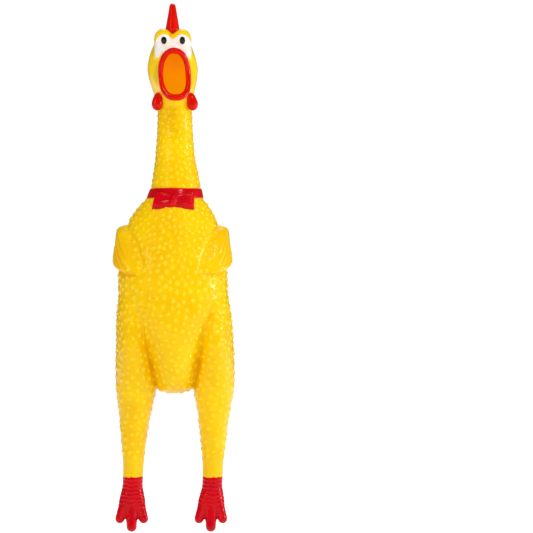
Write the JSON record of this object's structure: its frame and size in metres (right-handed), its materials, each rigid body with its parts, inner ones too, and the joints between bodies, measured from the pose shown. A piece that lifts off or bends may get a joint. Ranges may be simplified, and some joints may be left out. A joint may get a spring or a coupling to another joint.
{
  "type": "rubber chicken",
  "caption": "Upright squeezable rubber chicken with a wide open beak, comb, bow tie, folded wings, bendy neck, dangling legs and a reed squeaker in its neck.",
  "frame": {"origin": "centre of the body at the waist, where a hand closes round it, 190 mm above the toe tips", "axes": "+Z towards the comb, -Y towards the front of the chicken, +X towards its own left"},
  "size_m": [0.09, 0.0613, 0.3999],
  "materials": {
    "yellow_skin": "glossy",
    "red_skin": "glossy",
    "eye_white": "satin",
    "eye_black": "glossy",
    "squeaker_plastic": "matte",
    "reed_film": "glossy"
  },
  "bodies": {
    "torso": {"torso_shell": "yellow_skin", "belly_flex": "yellow_skin", "left_wing": "yellow_skin", "right_wing": "yellow_skin", "collar_band": "red_skin", "bow_tie": "red_skin", "neck_base_flex": "yellow_skin", "left_hip_flex": "yellow_skin", "right_hip_flex": "yellow_skin"},
    "belly": {"belly_panel": "yellow_skin"},
    "neck": {"neck_tube": "yellow_skin", "throat_flex": "yellow_skin", "squeaker_barrel": "squeaker_plastic", "reed_frame": "squeaker_plastic", "reed_wedge": "squeaker_plastic", "squeaker_cap": "squeaker_plastic"},
    "reed": {"squeaker_reed": "reed_film"},
    "head": {"head_shell": "yellow_skin", "beak_lips": "red_skin", "comb": "red_skin", "left_wattle": "red_skin", "right_wattle": "red_skin", "left_eye_white": "eye_white", "right_eye_white": "eye_white", "left_pupil": "eye_black", "right_pupil": "eye_black"},
    "left_leg": {"left_leg": "yellow_skin", "left_ankle_flex": "yellow_skin"},
    "left_foot": {"left_foot": "red_skin"},
    "right_leg": {"right_leg": "yellow_skin", "right_ankle_flex": "yellow_skin"},
    "right_foot": {"right_foot": "red_skin"}
  },
  "joints": [
    {"name": "belly_press", "type": "slide", "parent": "torso", "child": "belly", "axis": [0, 1, 0], "range_m": [0, 0.014], "stiffness_N_per_m": 400, "deforming": ["belly_flex"]},
    {"name": "neck_sway", "type": "hinge", "parent": "torso", "child": "neck", "pos_m": [0, 0, 0.0755], "axis": [0, 1, 0], "range_deg": [-25, 25], "stiffness_Nm_per_rad": 0.6, "deforming": ["neck_base_flex"]},
    {"name": "head_nod", "type": "hinge", "parent": "neck", "child": "head", "pos_m": [0, 0, 0.123], "axis": [1, 0, 0], "range_deg": [-25, 30], "stiffness_Nm_per_rad": 0.3, "deforming": ["throat_flex"]},
    {"name": "reed_beat", "type": "hinge", "parent": "neck", "child": "reed", "pos_m": [0, -0.0004, 0.0994], "axis": [1, 0, 0], "range_deg": [0, 5], "stiffness_Nm_per_rad": 0.0002},
    {"name": "left_hip_swing", "type": "hinge", "parent": "torso", "child": "left_leg", "pos_m": [0.0294, 0, -0.092], "axis": [1, 0, 0], "range_deg": [-45, 30], "stiffness_Nm_per_rad": 0.15, "deforming": ["left_hip_flex"]},
    {"name": "left_ankle_bend", "type": "hinge", "parent": "left_leg", "child": "left_foot", "pos_m": [0.03, 0, -0.1435], "axis": [1, 0, 0], "range_deg": [-35, 35], "stiffness_Nm_per_rad": 0.05, "deforming": ["left_ankle_flex"]},
    {"name": "right_hip_swing", "type": "hinge", "parent": "torso", "child": "right_leg", "pos_m": [-0.0294, 0, -0.092], "axis": [1, 0, 0], "range_deg": [-45, 30], "stiffness_Nm_per_rad": 0.15, "deforming": ["right_hip_flex"]},
    {"name": "right_ankle_bend", "type": "hinge", "parent": "right_leg", "child": "right_foot", "pos_m": [-0.03, 0, -0.1435], "axis": [1, 0, 0], "range_deg": [-35, 35], "stiffness_Nm_per_rad": 0.05, "deforming": ["right_ankle_flex"]}
  ]
}
